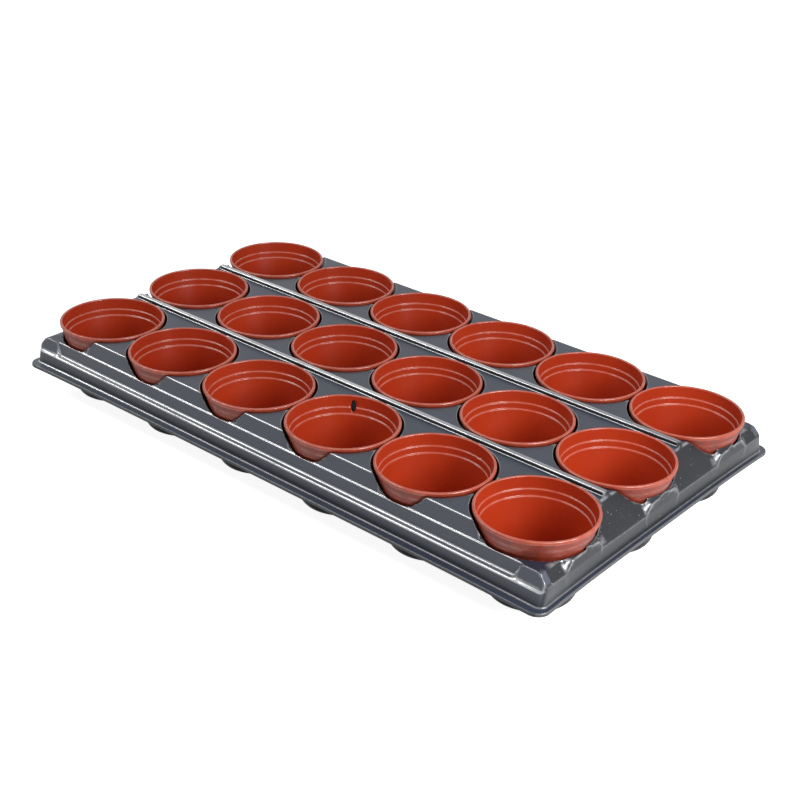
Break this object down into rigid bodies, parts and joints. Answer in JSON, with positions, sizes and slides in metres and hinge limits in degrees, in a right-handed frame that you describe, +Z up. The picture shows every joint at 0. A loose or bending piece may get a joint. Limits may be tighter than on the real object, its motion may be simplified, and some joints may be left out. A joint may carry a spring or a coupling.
{
  "type": "seed tray",
  "caption": "Rectangular carrying tray formed from plastic sheet, with a round cell for each plant pot; the pots stand loose in the cells and lift straight out.",
  "frame": {"origin": "middle of the tray's outline, on the plane that the undersides of the cells stand on", "axes": "+X along the rows of pots, +Y across the rows, +Z up"},
  "size_m": [0.5526, 0.317, 0.0686],
  "materials": {
    "tray plastic": "formed sheet, half gloss",
    "pot plastic": "moulded, half gloss"
  },
  "bodies": {
    "tray": {"tray": "tray plastic"},
    "pot_r1_c1": {"pot_r1_c1": "pot plastic"},
    "pot_r1_c2": {"pot_r1_c2": "pot plastic"},
    "pot_r1_c3": {"pot_r1_c3": "pot plastic"},
    "pot_r1_c4": {"pot_r1_c4": "pot plastic"},
    "pot_r1_c5": {"pot_r1_c5": "pot plastic"},
    "pot_r1_c6": {"pot_r1_c6": "pot plastic"},
    "pot_r2_c1": {"pot_r2_c1": "pot plastic"},
    "pot_r2_c2": {"pot_r2_c2": "pot plastic"},
    "pot_r2_c3": {"pot_r2_c3": "pot plastic"},
    "pot_r2_c4": {"pot_r2_c4": "pot plastic"},
    "pot_r2_c5": {"pot_r2_c5": "pot plastic"},
    "pot_r2_c6": {"pot_r2_c6": "pot plastic"},
    "pot_r3_c1": {"pot_r3_c1": "pot plastic"},
    "pot_r3_c2": {"pot_r3_c2": "pot plastic"},
    "pot_r3_c3": {"pot_r3_c3": "pot plastic"},
    "pot_r3_c4": {"pot_r3_c4": "pot plastic"},
    "pot_r3_c5": {"pot_r3_c5": "pot plastic"},
    "pot_r3_c6": {"pot_r3_c6": "pot plastic"}
  },
  "joints": [
    {"name": "lift_r1_c1", "type": "slide", "parent": "tray", "child": "pot_r1_c1", "axis": [0, 0, 1], "range_m": [0, 0.08]},
    {"name": "lift_r1_c2", "type": "slide", "parent": "tray", "child": "pot_r1_c2", "axis": [0, 0, 1], "range_m": [0, 0.08]},
    {"name": "lift_r1_c3", "type": "slide", "parent": "tray", "child": "pot_r1_c3", "axis": [0, 0, 1], "range_m": [0, 0.08]},
    {"name": "lift_r1_c4", "type": "slide", "parent": "tray", "child": "pot_r1_c4", "axis": [0, 0, 1], "range_m": [0, 0.08]},
    {"name": "lift_r1_c5", "type": "slide", "parent": "tray", "child": "pot_r1_c5", "axis": [0, 0, 1], "range_m": [0, 0.08]},
    {"name": "lift_r1_c6", "type": "slide", "parent": "tray", "child": "pot_r1_c6", "axis": [0, 0, 1], "range_m": [0, 0.08]},
    {"name": "lift_r2_c1", "type": "slide", "parent": "tray", "child": "pot_r2_c1", "axis": [0, 0, 1], "range_m": [0, 0.08]},
    {"name": "lift_r2_c2", "type": "slide", "parent": "tray", "child": "pot_r2_c2", "axis": [0, 0, 1], "range_m": [0, 0.08]},
    {"name": "lift_r2_c3", "type": "slide", "parent": "tray", "child": "pot_r2_c3", "axis": [0, 0, 1], "range_m": [0, 0.08]},
    {"name": "lift_r2_c4", "type": "slide", "parent": "tray", "child": "pot_r2_c4", "axis": [0, 0, 1], "range_m": [0, 0.08]},
    {"name": "lift_r2_c5", "type": "slide", "parent": "tray", "child": "pot_r2_c5", "axis": [0, 0, 1], "range_m": [0, 0.08]},
    {"name": "lift_r2_c6", "type": "slide", "parent": "tray", "child": "pot_r2_c6", "axis": [0, 0, 1], "range_m": [0, 0.08]},
    {"name": "lift_r3_c1", "type": "slide", "parent": "tray", "child": "pot_r3_c1", "axis": [0, 0, 1], "range_m": [0, 0.08]},
    {"name": "lift_r3_c2", "type": "slide", "parent": "tray", "child": "pot_r3_c2", "axis": [0, 0, 1], "range_m": [0, 0.08]},
    {"name": "lift_r3_c3", "type": "slide", "parent": "tray", "child": "pot_r3_c3", "axis": [0, 0, 1], "range_m": [0, 0.08]},
    {"name": "lift_r3_c4", "type": "slide", "parent": "tray", "child": "pot_r3_c4", "axis": [0, 0, 1], "range_m": [0, 0.08]},
    {"name": "lift_r3_c5", "type": "slide", "parent": "tray", "child": "pot_r3_c5", "axis": [0, 0, 1], "range_m": [0, 0.08]},
    {"name": "lift_r3_c6", "type": "slide", "parent": "tray", "child": "pot_r3_c6", "axis": [0, 0, 1], "range_m": [0, 0.08]}
  ]
}
